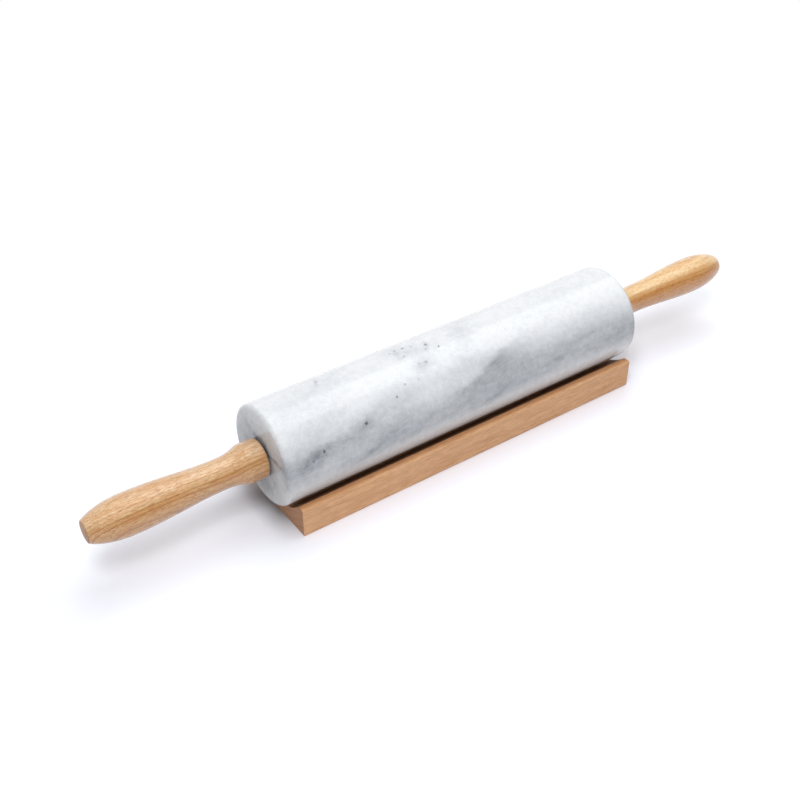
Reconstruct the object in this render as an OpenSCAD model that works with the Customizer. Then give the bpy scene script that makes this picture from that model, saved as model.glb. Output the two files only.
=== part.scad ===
// Marble rolling pin that turns on a steel axle between two wooden handles,
// and the wooden cradle that it rests in. All sizes are in millimetres.
// The pin lies along X and +Z is up. The origin is at the middle of the
// cradle's underside, on the surface that the cradle stands on.

/* [Barrel] */
// Length of the stone barrel
barrel_len = 254; // [200:1:320]
// Outside diameter of the stone barrel
barrel_d = 60.5; // [50:0.5:75]
// Radius of the polished round-over at each end of the barrel
barrel_edge_r = 2.6; // [1:0.1:5]
// Room all round the axle in the hole drilled through the stone
bore_room = 1; // [0.5:0.1:2]

/* [Axle] */
// Diameter of the steel axle where the barrel turns on it
axle_d = 10; // [9:0.5:12]
// Diameter of the threaded end of the axle
thread_d = 8; // [6:0.5:8]
// Length of each threaded end, past the axle's shoulder
thread_len = 22; // [17:1:28]
// Width of the relief groove cut beside the shoulder
relief_w = 1.6; // [1:0.1:3]
// Depth of the relief groove
relief_depth = 0.8; // [0.3:0.1:1.2]
// Chamfer on each tip of the axle
axle_chamfer = 1; // [0.5:0.1:2]

/* [Bushings] */
// Wall of each bushing around the axle
bush_wall = 3; // [2:0.1:3.5]
// Length of each bushing's sleeve in the stone, with its flange
bush_len = 22; // [12:1:40]
// How far each bushing's flange reaches past its sleeve
flange_lip = 1.6; // [1:0.1:3]
// Thickness of each bushing's flange
flange_t = 1.5; // [1:0.1:3]
// How far each flange lies below the stone's end face
flange_sunk = 0.2; // [0.1:0.05:0.4]
// Lead-in chamfer on the inner end of each bushing
bush_chamfer = 0.8; // [0.3:0.1:1.5]

/* [Washers] */
// Thickness of the washer between each bushing and handle
washer_t = 0.6; // [0.4:0.1:1.5]
// Width of the washer's ring
washer_w = 4.4; // [3:0.1:5]

/* [Handles] */
// Length of each turned handle
handle_len = 102.4; // [90:0.1:130]
// Diameter of the swell that fills the palm, at its thickest
belly_d = 23.4; // [21:0.2:28]
// Half the length of the ellipse that shapes the nose
nose_len = 29.4; // [24:0.2:36]
// Diameter at the tip where the nose is cut off flat
tip_d = 13.4; // [8:0.2:17]
// Radius of the edge between the nose and the flat tip
tip_edge_r = 1.2; // [0.5:0.1:3]
// Diameter of the neck, where the handle is thinnest
neck_d = 17.8; // [17:0.2:20]
// Radius of the hollow turned between the neck and the collar
hollow_r = 30; // [24:1:40]
// Length of that hollow
hollow_len = 12; // [8:0.5:14]
// Height of the small rounded step up from the hollow to the collar
collar_rise = 0.3; // [0.2:0.05:1.5]
// Length of the collar
collar_len = 11.9; // [9:0.1:16]
// Round-over on the collar's end next to the barrel
collar_edge_r = 1.5; // [0.8:0.1:2]
// Room left past the axle's tip in the handle's hole
tip_room = 3; // [1:0.5:8]

/* [Inserts] */
// Wall of the threaded brass insert around the axle's thread
insert_wall = 2.5; // [2:0.1:3]
// Length of the threaded insert
insert_len = 15; // [10:1:16]
// Number of grip grooves turned around the insert
insert_grooves = 4; // [2:1:6]
// Depth of each grip groove
groove_depth = 0.5; // [0.2:0.1:0.9]
// Width of each grip groove
groove_w = 1.2; // [0.6:0.1:1.5]

/* [Cradle] */
// How far the barrel stands past each end of the cradle
cradle_inset = 5; // [2:1:20]
// Thickness of the cradle's board
cradle_t = 18.4; // [14:0.2:24]
// Wood left under the middle of the trough
trough_floor = 6.6; // [4:0.2:10]
// How much wider the trough's radius is than the barrel's
trough_ease = 10; // [2:0.5:16]
// Width of the flat land on each side of the trough
land_w = 4.8; // [3:0.2:12]
// Radius of the eased edges of the cradle
cradle_edge_r = 1.2; // [0.5:0.1:2]

/* [Fits] */
// Running clearance between the axle and each bushing, on the radius
run_clear = 0.05; // [0.02:0.01:0.1]
// Glue line around the bushings and the inserts, on the radius
glue_gap = 0.05; // [0.02:0.01:0.15]
// Clearance between the axle's thread and the insert, on the radius
thread_clear = 0.05; // [0.02:0.01:0.15]
// Clearance between the washers and the axle, on the radius
washer_clear = 0.1; // [0.05:0.05:0.4]
// End play between each washer and the bushing beside it
end_play = 0.2; // [0.1:0.05:0.5]
// Gap under the barrel where it rests in the trough
seat_gap = 0.3; // [0.1:0.05:0.5]

/* [Hidden] */
$fn = 96;

// How far a cut runs past the face that it goes through
past = 1;
// Steps along each stretch of the handle's outline
edge_steps = 6;
nose_steps = 14;
swell_steps = 22;
hollow_steps = 8;

// Fits around the axle
bush_bore_d = axle_d + 2 * run_clear;
bush_d = bush_bore_d + 2 * bush_wall;
flange_d = bush_d + 2 * flange_lip;
barrel_bore_d = axle_d + 2 * bore_room;
bush_seat_d = bush_d + 2 * glue_gap;
flange_seat_d = flange_d + 2 * glue_gap;
flange_seat_depth = flange_t + flange_sunk;
washer_bore_d = axle_d + 2 * washer_clear;
washer_d = washer_bore_d + 2 * washer_w;
insert_bore_d = thread_d + 2 * thread_clear;
insert_d = insert_bore_d + 2 * insert_wall;
insert_seat_d = insert_d + 2 * glue_gap;

// Places along the axle, measured from the middle of the barrel
barrel_end = barrel_len / 2;
flange_face = barrel_end - flange_sunk;
washer_face = flange_face + end_play;
handle_face = washer_face + washer_t;

// Height of the axle above the surface that the cradle stands on
axle_z = trough_floor + seat_gap + barrel_d / 2;

// The trough is a shallow arc of a larger circle than the barrel's
cradle_len = barrel_len - 2 * cradle_inset;
trough_r = barrel_d / 2 + trough_ease;
trough_depth = cradle_t - trough_floor;
trough_half_w = sqrt(pow(trough_r, 2) - pow(trough_r - trough_depth, 2));
cradle_w = 2 * (trough_half_w + land_w);

// The handle's outline is drawn as [radius, distance from the tip].
// The nose ellipse starts where its angle is nose_start, and its slope there
// is the angle that the tip's edge has to turn through to run into it.
belly_r = belly_d / 2;
nose_start = asin(tip_d / belly_d);
tip_turn = atan(nose_len / belly_r * tan(nose_start));
belly_at = nose_len * cos(nose_start) + tip_edge_r * (1 - cos(tip_turn));
collar_at = handle_len - collar_len;
neck_at = collar_at - hollow_len;
collar_foot_r = neck_d / 2 + hollow_r - sqrt(pow(hollow_r, 2) - pow(hollow_len, 2));
collar_r = collar_foot_r + collar_rise;

// Rounded edge of the flat tip, turned through angle a
function tip_point(a) = [
    tip_d / 2 - tip_edge_r * (sin(tip_turn) - sin(a)),
    tip_edge_r * (1 - cos(a))
];

// Nose, an ellipse that runs level into the swell at 90 degrees
function nose_point(a) = [belly_r * sin(a), belly_at - nose_len * cos(a)];

// The swell falls to the neck along half a cosine wave, as t goes from 0 to 1
function swell_point(t) = [
    neck_d / 2 + (belly_r - neck_d / 2) * (1 + cos(180 * t)) / 2,
    belly_at + (neck_at - belly_at) * t
];

// The hollow is an arc that leaves the neck level and rises to the collar
function hollow_point(t) = [
    neck_d / 2 + hollow_r - sqrt(pow(hollow_r, 2) - pow(hollow_len * t, 2)),
    neck_at + hollow_len * t
];

// The small step up to the collar, a convex quarter round
function step_point(a) = [
    collar_foot_r + collar_rise * sin(a),
    collar_at + collar_rise * (1 - cos(a))
];

// The round-over on the collar's end
function collar_edge_point(a) = [
    collar_r - collar_edge_r * (1 - cos(a)),
    handle_len - collar_edge_r * (1 - sin(a))
];

handle_outline = concat(
    [[0, 0]],
    [for (i = [0:edge_steps]) tip_point(tip_turn * i / edge_steps)],
    [for (i = [1:nose_steps]) nose_point(nose_start + (90 - nose_start) * i / nose_steps)],
    [for (i = [1:swell_steps]) swell_point(i / swell_steps)],
    [for (i = [1:hollow_steps]) hollow_point(i / hollow_steps)],
    [for (i = [1:edge_steps]) step_point(90 * i / edge_steps)],
    [for (i = [0:edge_steps]) collar_edge_point(90 * i / edge_steps)],
    [[0, handle_len]]
);

// Turns what is built along +Z so that it lies along +X on the axle's line
module along_axle(start) {
    translate([start, 0, axle_z]) rotate([0, 90, 0]) children();
}

// Puts what is built for the right end at the right, or mirrored at the left
module at_end(side) {
    if (side == "left") mirror([1, 0, 0]) children();
    if (side == "right") children();
}

// Half section of a round bar with rounded ends, for turning about its axis
module bar_half_section(d, len, r) {
    square([d / 2 - r, len]);
    translate([0, r]) square([d / 2, len - 2 * r]);
    for (y = [r, len - r]) translate([d / 2 - r, y]) intersection() {
        circle(r);
        translate([0, -r]) square([r, 2 * r]);
    }
}

// Rectangle with rounded corners, centred on its first side
module rounded_rectangle(w, h, r) {
    translate([-w / 2 + r, 0]) square([w - 2 * r, h]);
    translate([-w / 2, r]) square([w, h - 2 * r]);
    for (x = [-w / 2 + r, w / 2 - r], y = [r, h - r]) translate([x, y]) circle(r);
}

// Stone barrel, drilled through and bored out at each end for a bushing
module marble_barrel() {
    color("whitesmoke") along_axle(-barrel_end) difference() {
        rotate_extrude() bar_half_section(barrel_d, barrel_len, barrel_edge_r);
        translate([0, 0, -past]) cylinder(d = barrel_bore_d, h = barrel_len + 2 * past);
        bushing_seat();
        translate([0, 0, barrel_len]) mirror([0, 0, 1]) bushing_seat();
    }
}

// Room for a bushing's sleeve and flange, from the stone's end face inwards
module bushing_seat() {
    translate([0, 0, -past]) cylinder(d = bush_seat_d, h = bush_len + flange_sunk + past);
    translate([0, 0, -past]) cylinder(d = flange_seat_d, h = flange_seat_depth + past);
}

// Flanged plain bearing that is glued into the end of the stone
module bushing(side) {
    color("dimgray") at_end(side) along_axle(flange_face - bush_len) difference() {
        union() {
            cylinder(d1 = bush_d - 2 * bush_chamfer, d2 = bush_d, h = bush_chamfer);
            translate([0, 0, bush_chamfer])
                cylinder(d = bush_d, h = bush_len - bush_chamfer - flange_t / 2);
            translate([0, 0, bush_len - flange_t]) cylinder(d = flange_d, h = flange_t);
        }
        translate([0, 0, -past]) cylinder(d = bush_bore_d, h = bush_len + 2 * past);
    }
}

// Steel axle, with a shoulder and a threaded end on each side
module axle_rod() {
    color("silver") {
        along_axle(-handle_face) cylinder(d = axle_d, h = 2 * handle_face);
        for (side = ["left", "right"]) at_end(side) along_axle(handle_face) threaded_end();
    }
}

// Threaded end, drawn at the thread's outside, with a relief and a chamfer
module threaded_end() {
    cylinder(d = thread_d - 2 * relief_depth, h = relief_w);
    translate([0, 0, relief_w])
        cylinder(d = thread_d, h = thread_len - relief_w - axle_chamfer);
    translate([0, 0, thread_len - axle_chamfer])
        cylinder(d1 = thread_d, d2 = thread_d - 2 * axle_chamfer, h = axle_chamfer);
}

// Thin washer that rubs on the bushing's flange and backs onto the handle
module washer(side) {
    color("lightsteelblue") at_end(side) along_axle(washer_face) difference() {
        cylinder(d = washer_d, h = washer_t);
        translate([0, 0, -past]) cylinder(d = washer_bore_d, h = washer_t + 2 * past);
    }
}

// Brass insert, glued into the handle, that the axle's thread screws into
module insert(side) {
    groove_pitch = insert_len / (insert_grooves + 1);
    color("goldenrod") at_end(side) along_axle(handle_face) difference() {
        cylinder(d = insert_d, h = insert_len);
        translate([0, 0, -past]) cylinder(d = insert_bore_d, h = insert_len + 2 * past);
        for (i = [1:insert_grooves]) translate([0, 0, i * groove_pitch - groove_w / 2])
            grip_groove();
    }
}

// Ring that cuts one grip groove
module grip_groove() {
    difference() {
        cylinder(d = insert_d + 2 * past, h = groove_w);
        cylinder(d = insert_d - 2 * groove_depth, h = groove_w);
    }
}

// Turned wooden handle, drilled for its insert and for the axle's tip
module handle(side) {
    color("peru") at_end(side) along_axle(handle_face) difference() {
        translate([0, 0, handle_len]) mirror([0, 0, 1])
            rotate_extrude() polygon(handle_outline);
        translate([0, 0, -past]) cylinder(d = insert_seat_d, h = insert_len + past);
        cylinder(d = insert_bore_d, h = thread_len + tip_room);
    }
}

// Cradle: one board with eased edges and a round trough along its top
module cradle_block() {
    color("tan") difference() {
        intersection() {
            translate([-cradle_len / 2, 0, 0]) rotate([90, 0, 90])
                linear_extrude(cradle_len) rounded_rectangle(cradle_w, cradle_t, cradle_edge_r);
            translate([0, cradle_w / 2, 0]) rotate([90, 0, 0])
                linear_extrude(cradle_w) rounded_rectangle(cradle_len, cradle_t, cradle_edge_r);
            translate([0, -cradle_w / 2, 0])
                linear_extrude(cradle_t) rounded_rectangle(cradle_len, cradle_w, cradle_edge_r);
        }
        translate([-cradle_len / 2 - past, 0, trough_floor + trough_r]) rotate([0, 90, 0])
            cylinder(r = trough_r, h = cradle_len + 2 * past);
    }
}

cradle_block();
marble_barrel();
bushing("left");  // left_bushing
bushing("right");  // right_bushing
axle_rod();
washer("left");  // left_washer
washer("right");  // right_washer
insert("left");  // left_insert
insert("right");  // right_insert
handle("left");  // left_handle
handle("right");  // right_handle
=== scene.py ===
"""Looks of a marble rolling pin that rests in its wooden cradle.

The frame gives each piece's place and outer size. This scene adds finer
surfaces and the finishes: polished veined marble, lacquered handles, an
oiled cradle, and the metal and plastic of the bearing inside the pin.
"""

import math

import bpy
from mathutils import Matrix, Vector


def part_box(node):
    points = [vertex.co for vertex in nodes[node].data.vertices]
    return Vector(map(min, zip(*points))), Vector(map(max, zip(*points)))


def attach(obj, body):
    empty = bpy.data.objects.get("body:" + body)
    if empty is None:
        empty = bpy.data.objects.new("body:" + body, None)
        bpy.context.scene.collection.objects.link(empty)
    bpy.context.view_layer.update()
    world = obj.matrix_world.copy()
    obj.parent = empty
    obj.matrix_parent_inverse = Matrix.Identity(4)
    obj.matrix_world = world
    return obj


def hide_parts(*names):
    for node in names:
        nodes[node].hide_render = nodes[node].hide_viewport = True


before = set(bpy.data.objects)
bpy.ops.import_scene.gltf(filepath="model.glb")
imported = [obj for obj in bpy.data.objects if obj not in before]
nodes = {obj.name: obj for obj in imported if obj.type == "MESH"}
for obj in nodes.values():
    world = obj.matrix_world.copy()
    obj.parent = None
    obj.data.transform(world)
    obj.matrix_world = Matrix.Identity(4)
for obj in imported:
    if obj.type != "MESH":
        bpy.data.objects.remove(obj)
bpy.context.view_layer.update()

# One millimetre, in the metres that Blender works in
MM = 0.001

# Steps around each turned piece, and along each part of its outline
BARREL_STEPS = 256
HANDLE_STEPS = 144
EDGE_STEPS = 10
TIP_STEPS = 8
NOSE_STEPS = 28
SWELL_STEPS = 40
HOLLOW_STEPS = 12
COLLAR_STEPS = 8
TROUGH_STEPS = 48
BEVEL_STEPS = 4
FLOOR_STEPS = 96

# A radius below this, in millimetres, counts as on the axle
ON_AXLE = 1e-6

# Edges that turn by more than this many degrees are drawn sharp
SHARP_FROM = 28

# Sizes of the turned and milled shapes, in millimetres
BARREL_EDGE_R = 2.6
BARREL_BORE_R = 6.0
SLEEVE_SEAT_R = 8.1
SLEEVE_SEAT_DEPTH = 22.2
FLANGE_SEAT_R = 9.7
FLANGE_SEAT_DEPTH = 1.7
BELLY_R = 11.7
NOSE_LEN = 29.4
TIP_R = 6.7
TIP_MIDDLE_R = 0.35 * TIP_R
TIP_EDGE_R = 1.2
NECK_R = 8.9
HOLLOW_R = 30.0
HOLLOW_LEN = 12.0
COLLAR_RISE = 0.3
COLLAR_BLEND = 0.5
COLLAR_LEN = 11.9
COLLAR_EDGE_R = 1.5
INSERT_SEAT_R = 6.6
INSERT_SEAT_DEPTH = 15.0
AXLE_HOLE_R = 4.05
AXLE_HOLE_DEPTH = 25.0
TROUGH_FLOOR = 6.6
TROUGH_R = 40.25
CRADLE_EDGE_R = 1.2
TROUGH_EDGE_R = 0.45

# How close points of the cradle lie to count as one, and as on its edge
JOIN_REACH = 0.02
EDGE_REACH = 0.01

# Places that the frame gives
barrel_low, barrel_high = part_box("marble_barrel")
handle_low, handle_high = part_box("right_handle")
cradle_low, cradle_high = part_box("cradle_block")
axle_height = (barrel_low.z + barrel_high.z) / 2
barrel_r = (barrel_high.z - barrel_low.z) / 2 / MM
barrel_half = barrel_high.x / MM
handle_face = handle_low.x / MM
handle_len = (handle_high.x - handle_low.x) / MM


# Meshes

def finish_mesh(name, points, faces):
    """Makes a mesh object from points and faces in metres, smooth but for its sharp edges."""
    mesh = bpy.data.meshes.new(name)
    mesh.from_pydata(points, [], faces)
    mesh.validate()
    mesh.polygons.foreach_set("use_smooth", [True] * len(mesh.polygons))
    mesh.set_sharp_from_angle(angle=math.radians(SHARP_FROM))
    piece = bpy.data.objects.new(name, mesh)
    bpy.context.scene.collection.objects.link(piece)
    even = piece.modifiers.new("even_shading", "WEIGHTED_NORMAL")
    even.keep_sharp = True
    return piece


def turn_on_lathe(name, outline, steps):
    """Turns an outline of [place along the axle, radius] in millimetres about the axle.

    An outline that starts and ends on the axle gives one point there. Any
    other is a ring, and its last point joins its first.
    """
    points = []
    rings = []
    for along, radius in outline:
        if radius < ON_AXLE:
            rings.append([len(points)])
            points.append((along * MM, 0.0, axle_height))
            continue
        rings.append(list(range(len(points), len(points) + steps)))
        for step in range(steps):
            angle = 2 * math.pi * step / steps
            across = -radius * MM * math.sin(angle)
            up = axle_height + radius * MM * math.cos(angle)
            points.append((along * MM, across, up))
    pairs = list(zip(rings[:-1], rings[1:]))
    if outline[0][1] > ON_AXLE:
        pairs.append((rings[-1], rings[0]))
    faces = []
    for here, there in pairs:
        for step in range(steps):
            after = (step + 1) % steps
            if len(here) == 1:
                faces.append((here[0], there[step], there[after]))
            elif len(there) == 1:
                faces.append((here[after], here[step], there[0]))
            else:
                faces.append((here[after], here[step], there[step], there[after]))
    return finish_mesh(name, points, faces)


def arc(start, stop, steps):
    """Angles in radians from start to stop degrees, both ends with them."""
    return [math.radians(start + (stop - start) * i / steps) for i in range(steps + 1)]


def barrel_outline():
    """Outline of the stone, from the middle of its bore out to the right end and round."""
    flat_r = barrel_r - BARREL_EDGE_R
    edge_at = barrel_half - BARREL_EDGE_R
    half = [
        (barrel_half - SLEEVE_SEAT_DEPTH, BARREL_BORE_R),
        (barrel_half - SLEEVE_SEAT_DEPTH, SLEEVE_SEAT_R),
        (barrel_half - FLANGE_SEAT_DEPTH, SLEEVE_SEAT_R),
        (barrel_half - FLANGE_SEAT_DEPTH, FLANGE_SEAT_R),
        (barrel_half, FLANGE_SEAT_R),
    ]
    for angle in arc(0, 90, EDGE_STEPS):
        half.append((edge_at + BARREL_EDGE_R * math.cos(angle),
                     flat_r + BARREL_EDGE_R * math.sin(angle)))
    other = [(-along, radius) for along, radius in reversed(half)]
    return half + other


def handle_outline():
    """Outline of a handle as [place from its tip, radius], from the tip to its hole's end."""
    nose_start = math.asin(TIP_R / BELLY_R)
    tip_turn = math.atan(NOSE_LEN / BELLY_R * math.tan(nose_start))
    belly_at = NOSE_LEN * math.cos(nose_start) + TIP_EDGE_R * (1 - math.cos(tip_turn))
    collar_at = handle_len - COLLAR_LEN
    neck_at = collar_at - HOLLOW_LEN
    foot_r = NECK_R + HOLLOW_R - math.sqrt(HOLLOW_R ** 2 - HOLLOW_LEN ** 2)
    collar_r = foot_r + COLLAR_RISE
    outline = [(0.0, 0.0), (0.0, TIP_MIDDLE_R)]
    for i in range(TIP_STEPS + 1):
        angle = tip_turn * i / TIP_STEPS
        outline.append((TIP_EDGE_R * (1 - math.cos(angle)),
                        TIP_R - TIP_EDGE_R * (math.sin(tip_turn) - math.sin(angle))))
    for i in range(1, NOSE_STEPS + 1):
        angle = nose_start + (math.pi / 2 - nose_start) * i / NOSE_STEPS
        outline.append((belly_at - NOSE_LEN * math.cos(angle), BELLY_R * math.sin(angle)))
    for i in range(1, SWELL_STEPS + 1):
        share = i / SWELL_STEPS
        outline.append((belly_at + (neck_at - belly_at) * share,
                        NECK_R + (BELLY_R - NECK_R) * (1 + math.cos(math.pi * share)) / 2))
    risen = HOLLOW_LEN - COLLAR_BLEND
    for i in range(1, HOLLOW_STEPS + 1):
        reach = risen * i / HOLLOW_STEPS
        outline.append((neck_at + reach, NECK_R + HOLLOW_R - math.sqrt(HOLLOW_R ** 2 - reach ** 2)))
    start_at, start_r = outline[-1]
    slope = risen / math.sqrt(HOLLOW_R ** 2 - risen ** 2)
    corner_at = start_at + (collar_r - start_r) / slope
    for i in range(1, COLLAR_STEPS + 1):
        share = i / COLLAR_STEPS
        first = (1 - share) ** 2
        last = share ** 2
        middle = 1 - first - last
        outline.append((first * start_at + middle * corner_at + last * (corner_at + COLLAR_BLEND),
                        first * start_r + (1 - first) * collar_r))
    for angle in arc(0, 90, COLLAR_STEPS):
        outline.append((handle_len - COLLAR_EDGE_R * (1 - math.sin(angle)),
                        collar_r - COLLAR_EDGE_R * (1 - math.cos(angle))))
    outline += [
        (handle_len, INSERT_SEAT_R),
        (handle_len - INSERT_SEAT_DEPTH, INSERT_SEAT_R),
        (handle_len - INSERT_SEAT_DEPTH, AXLE_HOLE_R),
        (handle_len - AXLE_HOLE_DEPTH, AXLE_HOLE_R),
        (handle_len - AXLE_HOLE_DEPTH, 0.0),
    ]
    return outline


def make_barrel():
    """Polished stone barrel, with its bore and the seats of its bushings."""
    piece = turn_on_lathe("polished_barrel", barrel_outline(), BARREL_STEPS)
    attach(piece, "barrel")
    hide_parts("marble_barrel")
    return piece


def make_handle(side):
    """Turned handle at one end. The left one is the mirror image of the right one."""
    tip = handle_face + handle_len
    outline = [(tip - along, radius) for along, radius in handle_outline()]
    if side == "left":
        outline = [(-along, radius) for along, radius in reversed(outline)]
    piece = turn_on_lathe("turned_" + side + "_handle", outline, HANDLE_STEPS)
    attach(piece, "handles")
    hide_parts(side + "_handle")
    return piece


def make_cradle():
    """Milled board with a round trough along its top and eased edges."""
    half_len = cradle_high.x
    half_w = cradle_high.y
    top = cradle_high.z
    trough_depth = top / MM - TROUGH_FLOOR
    trough_half = math.sqrt(TROUGH_R ** 2 - (TROUGH_R - trough_depth) ** 2)
    reach = math.degrees(math.asin(trough_half / TROUGH_R))
    across = [-half_w]
    height = [top]
    for angle in arc(-reach, reach, TROUGH_STEPS):
        across.append(TROUGH_R * MM * math.sin(angle))
        height.append((TROUGH_FLOOR + TROUGH_R * (1 - math.cos(angle))) * MM)
    across.append(half_w)
    height.append(top)
    count = len(across)
    points = []
    for end in (-half_len, half_len):
        points += [(end, y, z) for y, z in zip(across, height)]
        points += [(end, y, 0.0) for y in across]
    right = 2 * count
    faces = []
    for i in range(count - 1):
        low = count + i
        faces.append((i + 1, i, right + i, right + i + 1))
        faces.append((low, low + 1, right + low + 1, right + low))
        faces.append((i, i + 1, low + 1, low))
        faces.append((right + i + 1, right + i, right + low, right + low + 1))
    faces.append((right, 0, count, right + count))
    faces.append((2 * count - 1, count - 1, right + count - 1, right + 2 * count - 1))
    piece = finish_mesh("oiled_cradle", points, faces)
    piece.modifiers.remove(piece.modifiers["even_shading"])
    ease_cradle_edges(piece, trough_half * MM)
    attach(piece, "cradle")
    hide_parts("cradle_block")
    return piece


def ease_cradle_edges(piece, trough_half):
    """Rounds the board's outer edges, and takes the bite off the trough's edges."""
    mesh = piece.data
    weights = mesh.attributes.new("bevel_weight_edge", "FLOAT", "EDGE")
    close = EDGE_REACH * MM
    for edge in mesh.edges:
        ends = [mesh.vertices[i].co for i in edge.vertices]
        on_end = all(abs(abs(p.x) - cradle_high.x) < close for p in ends)
        on_side = all(abs(abs(p.y) - cradle_high.y) < close for p in ends)
        on_base = all(p.z < close for p in ends)
        lengthwise = abs(ends[0].x - ends[1].x) > close
        on_lip = all(abs(abs(p.y) - trough_half) < close for p in ends)
        in_trough = all(abs(p.y) < trough_half + close and p.z > close for p in ends)
        upright = abs(ends[0].y - ends[1].y) < close and not lengthwise
        weight = 0.0
        if lengthwise and on_side:
            weight = 1.0
        elif lengthwise and on_lip and not on_base:
            weight = TROUGH_EDGE_R / CRADLE_EDGE_R
        elif on_end and upright and on_side:
            weight = 1.0
        elif on_end and not upright and in_trough:
            weight = TROUGH_EDGE_R / CRADLE_EDGE_R
        elif on_end and not upright:
            weight = 1.0
        weights.data[edge.index].value = weight
    eased = piece.modifiers.new("eased_edges", "BEVEL")
    eased.limit_method = "WEIGHT"
    eased.width = CRADLE_EDGE_R * MM
    eased.segments = BEVEL_STEPS
    eased.use_clamp_overlap = True
    eased.miter_outer = "MITER_ARC"
    joined = piece.modifiers.new("joined_corners", "WELD")
    joined.merge_threshold = JOIN_REACH * MM
    even = piece.modifiers.new("even_shading", "WEIGHTED_NORMAL")
    even.keep_sharp = True


# Nodes

def add_node(tree, kind, inputs=None, **settings):
    """Adds a node. An input is given a number, a colour, or the socket that feeds it."""
    made = tree.nodes.new(kind)
    for name, value in settings.items():
        setattr(made, name, value)
    for key, value in (inputs or {}).items():
        if isinstance(value, bpy.types.NodeSocket):
            tree.links.new(value, made.inputs[key])
        else:
            made.inputs[key].default_value = value
    return made


def calculate(tree, operation, first, second=0.0, third=0.0):
    """Result of one sum on numbers."""
    made = add_node(tree, "ShaderNodeMath", {0: first, 1: second, 2: third}, operation=operation)
    return made.outputs[0]


def vector_sum(tree, operation, first, *others):
    """Results of one sum on vectors: a vector first, or a "Value" where it gives a number."""
    inputs = dict(enumerate((first, *others)))
    return add_node(tree, "ShaderNodeVectorMath", inputs, operation=operation).outputs


def split(tree, vector):
    """The X, Y and Z of a vector."""
    return add_node(tree, "ShaderNodeSeparateXYZ", {0: vector}).outputs


def stretch_along(tree, place, along, across):
    """Place with one scale along X and another across it, each a number or a socket."""
    scale = add_node(tree, "ShaderNodeCombineXYZ", {0: along, 1: across, 2: across}).outputs[0]
    return vector_sum(tree, "MULTIPLY", place, scale)[0]


def ramp(tree, value, low, high, to_low=0.0, to_high=1.0):
    """Value carried smoothly from the range low to high onto to_low to to_high."""
    made = add_node(tree, "ShaderNodeMapRange", {
        "Value": value, "From Min": low, "From Max": high, "To Min": to_low, "To Max": to_high,
    }, interpolation_type="SMOOTHSTEP")
    return made.outputs["Result"]


def noise(tree, place, scale, detail=3.0, rough=0.5, output="Fac"):
    """Smooth noise of about one spot per 1/scale."""
    made = add_node(tree, "ShaderNodeTexNoise", {
        "Vector": place, "Scale": scale, "Detail": detail, "Roughness": rough,
    })
    return made.outputs[output]


def stretch(tree, place, scale, shift=(0.0, 0.0, 0.0), turn=(0.0, 0.0, 0.0)):
    """Place scaled, then turned, then shifted."""
    made = add_node(tree, "ShaderNodeMapping", {
        "Vector": place, "Scale": scale, "Location": shift, "Rotation": turn,
    })
    return made.outputs["Vector"]


def tint(tree, share, first, second, how="MIX"):
    """Colour part of the way from the first to the second."""
    made = add_node(tree, "ShaderNodeMix", data_type="RGBA", blend_type=how)
    for index, value in ((0, share), (6, first), (7, second)):
        if isinstance(value, bpy.types.NodeSocket):
            tree.links.new(value, made.inputs[index])
        else:
            made.inputs[index].default_value = value
    return made.outputs[2]


def weak_tint(tree, mask, strength, first, second, how="MIX"):
    """Colour part of the way from the first to the second, by a mask and its strength."""
    return tint(tree, calculate(tree, "MULTIPLY", mask, strength), first, second, how)


def start_group(name, inputs, outputs):
    """Begins a shader node group. Returns it, the values it is given and the results it fills."""
    group = bpy.data.node_groups.new(name, "ShaderNodeTree")
    for socket_name, kind, value in inputs:
        socket = group.interface.new_socket(socket_name, in_out="INPUT", socket_type=kind)
        if value is not None:
            socket.default_value = value
    for socket_name, kind in outputs:
        group.interface.new_socket(socket_name, in_out="OUTPUT", socket_type=kind)
    given = group.nodes.new("NodeGroupInput")
    result = group.nodes.new("NodeGroupOutput")
    return group, given.outputs, result.inputs


def use_group(tree, group, inputs):
    """Places a group in a tree and returns its outputs."""
    return add_node(tree, "ShaderNodeGroup", inputs, node_tree=group).outputs


def rgb(red, green, blue):
    """Colour written as the 0 to 255 values that it shows, in the linear values that nodes use."""
    linear = []
    for value in (red, green, blue):
        share = value / 255
        if share <= 0.04045:
            linear.append(share / 12.92)
        else:
            linear.append(((share + 0.055) / 1.055) ** 2.4)
    return (*linear, 1.0)


def add_bump(tree, shader, height, strength, distance, names=("Normal",)):
    """Joins a bump of the given height, in millimetres, to the shader's normals."""
    bump = add_node(tree, "ShaderNodeBump", {
        "Height": height, "Strength": strength, "Distance": distance * MM,
    })
    for name in names:
        tree.links.new(bump.outputs["Normal"], shader.inputs[name])


def start_material(name):
    """Begins a material. Returns it, its tree, its main shader and places in millimetres."""
    material = bpy.data.materials.new(name)
    material.use_nodes = True
    tree = material.node_tree
    shader = tree.nodes["Principled BSDF"]
    where = add_node(tree, "ShaderNodeTexCoord").outputs["Object"]
    size = 1 / MM
    place = stretch(tree, where, (size, size, size), (0.0, 0.0, -axle_height / MM))
    return material, tree, shader, place


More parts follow.
